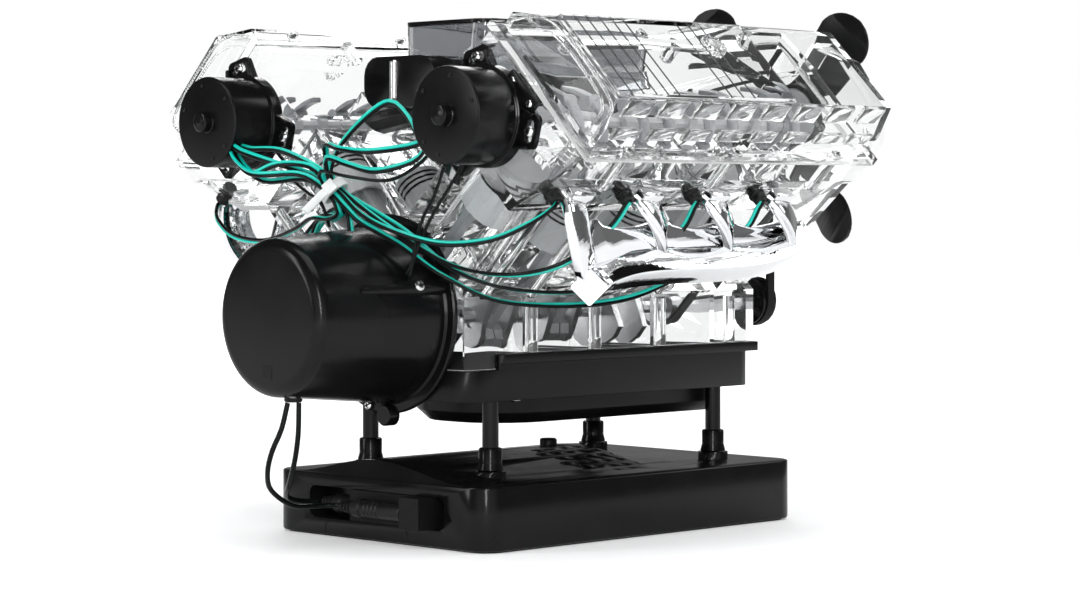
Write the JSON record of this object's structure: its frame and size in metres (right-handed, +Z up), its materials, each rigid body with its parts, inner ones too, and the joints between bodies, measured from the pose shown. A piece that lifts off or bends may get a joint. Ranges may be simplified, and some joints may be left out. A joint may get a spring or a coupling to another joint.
{
  "type": "four stroke engine model",
  "caption": "Clear plastic V engine teaching model on a black stand, with motor, fan, chrome exhausts and spark wiring.",
  "frame": {"origin": "centre of the stand's underside", "axes": "+X towards the fan, -X towards the motor cover, +Y the far bank, +Z up"},
  "size_m": [0.3494, 0.3048, 0.2593],
  "materials": {
    "black_gloss": "glossy black moulding",
    "black_matte": "matt black moulding",
    "clear": "clear moulded plastic",
    "smoke": "smoke grey clear plastic",
    "chrome": "chrome plated plastic",
    "grey": "grey moulding",
    "steel": "bright steel",
    "black_rubber": "soft black moulding",
    "teal": "teal wire covering",
    "white": "white strap"
  },
  "bodies": {
    "stand_and_engine": {"base_shell": "black_gloss", "base_floor": "black_matte", "speaker": "steel", "socket_block": "black_matte", "plug_inner": "black_rubber", "plug_outer": "black_rubber", "motor_lead_inner": "black_rubber", "motor_lead_outer": "black_rubber", "post_rear_near": "black_gloss", "post_rear_far": "black_gloss", "post_front_near": "black_gloss", "post_front_far": "black_gloss", "oil_pan": "black_gloss", "crankcase": "clear", "cylinder_block_near": "clear", "cylinder_block_far": "clear", "cylinder_head_near": "clear", "cylinder_head_far": "clear", "valve_cover_near": "clear", "valve_cover_far": "clear", "distributor_near": "black_gloss", "distributor_far": "black_gloss", "exhaust_near": "chrome", "exhaust_far": "chrome", "timing_belt": "black_rubber", "timing_cover": "clear", "fan_housing": "black_gloss", "fan_belt": "black_rubber", "motor_cover": "black_gloss", "motor": "steel", "intake_manifold": "black_gloss", "air_box": "smoke", "wiring_harness": "teal", "wire_tie": "white"},
    "crank": {"crankshaft": "steel", "flywheel_gear": "grey", "crank_pulley": "black_gloss"},
    "rods_outer": {"rod_near_1": "grey", "rod_far_1": "grey", "rod_near_4": "grey", "rod_far_4": "grey"},
    "dowel_outer": {"web_dowel_outer": "steel"},
    "pistons_near_outer": {"piston_near_1": "grey", "piston_near_4": "grey"},
    "pistons_far_outer": {"piston_far_1": "grey", "piston_far_4": "grey"},
    "rods_inner": {"rod_near_2": "grey", "rod_far_2": "grey", "rod_near_3": "grey", "rod_far_3": "grey"},
    "dowel_inner": {"web_dowel_inner": "steel"},
    "pistons_near_inner": {"piston_near_2": "grey", "piston_near_3": "grey"},
    "pistons_far_inner": {"piston_far_2": "grey", "piston_far_3": "grey"},
    "camshaft_near": {"camshaft_near": "grey"},
    "camshaft_far": {"camshaft_far": "grey"},
    "fan": {"fan": "black_gloss"},
    "pinion": {"motor_pinion": "grey"},
    "button": {"start_button": "black_gloss"}
  },
  "joints": [
    {"name": "crank_spin", "type": "hinge", "parent": "stand_and_engine", "child": "crank", "pos_m": [0, 0, 0.1048], "axis": [1, 0, 0], "continuous": true},
    {"name": "crankpin_outer", "type": "hinge", "parent": "crank", "child": "rods_outer", "pos_m": [0, 0, 0.1138], "axis": [1, 0, 0], "continuous": true},
    {"name": "dowel_turn_outer", "type": "hinge", "parent": "crank", "child": "dowel_outer", "pos_m": [0, 0, 0.1093], "axis": [1, 0, 0], "continuous": true},
    {"name": "piston_travel_near_outer", "type": "hinge", "parent": "dowel_outer", "child": "pistons_near_outer", "pos_m": [0, -0.0045, 0.1093], "axis": [1, 0, 0], "continuous": true},
    {"name": "piston_travel_far_outer", "type": "hinge", "parent": "dowel_outer", "child": "pistons_far_outer", "pos_m": [0, 0.0045, 0.1093], "axis": [1, 0, 0], "continuous": true},
    {"name": "crankpin_inner", "type": "hinge", "parent": "crank", "child": "rods_inner", "pos_m": [0, 0, 0.0958], "axis": [1, 0, 0], "continuous": true},
    {"name": "dowel_turn_inner", "type": "hinge", "parent": "crank", "child": "dowel_inner", "pos_m": [0, 0, 0.1003], "axis": [1, 0, 0], "continuous": true},
    {"name": "piston_travel_near_inner", "type": "hinge", "parent": "dowel_inner", "child": "pistons_near_inner", "pos_m": [0, 0.0045, 0.1003], "axis": [1, 0, 0], "continuous": true},
    {"name": "piston_travel_far_inner", "type": "hinge", "parent": "dowel_inner", "child": "pistons_far_inner", "pos_m": [0, -0.0045, 0.1003], "axis": [1, 0, 0], "continuous": true},
    {"name": "cam_spin_near", "type": "hinge", "parent": "stand_and_engine", "child": "camshaft_near", "pos_m": [0, -0.0816, 0.19361], "axis": [1, 0, 0], "continuous": true},
    {"name": "cam_spin_far", "type": "hinge", "parent": "stand_and_engine", "child": "camshaft_far", "pos_m": [0, 0.0816, 0.19361], "axis": [1, 0, 0], "continuous": true},
    {"name": "fan_spin", "type": "hinge", "parent": "stand_and_engine", "child": "fan", "pos_m": [0, 0, 0.197], "axis": [1, 0, 0], "continuous": true},
    {"name": "pinion_spin", "type": "hinge", "parent": "stand_and_engine", "child": "pinion", "pos_m": [0, 0, 0.1249], "axis": [1, 0, 0], "continuous": true},
    {"name": "start_press", "type": "slide", "parent": "stand_and_engine", "child": "button", "axis": [0, 0, 1], "range_m": [-0.002, 0], "stiffness_N_per_m": 150, "springref_m": 0.0005}
  ],
  "couplings": [
    {"joint": "crankpin_outer", "follows": "crank_spin", "ratio": -1},
    {"joint": "dowel_turn_outer", "follows": "crank_spin", "ratio": -2},
    {"joint": "piston_travel_near_outer", "follows": "crank_spin", "ratio": 1},
    {"joint": "piston_travel_far_outer", "follows": "crank_spin", "ratio": 1},
    {"joint": "crankpin_inner", "follows": "crank_spin", "ratio": -1},
    {"joint": "dowel_turn_inner", "follows": "crank_spin", "ratio": -2},
    {"joint": "piston_travel_near_inner", "follows": "crank_spin", "ratio": 1},
    {"joint": "piston_travel_far_inner", "follows": "crank_spin", "ratio": 1},
    {"joint": "cam_spin_near", "follows": "crank_spin", "ratio": 0.5},
    {"joint": "cam_spin_far", "follows": "crank_spin", "ratio": 0.5},
    {"joint": "fan_spin", "follows": "crank_spin", "ratio": 1},
    {"joint": "pinion_spin", "follows": "crank_spin", "ratio": -4.5}
  ]
}
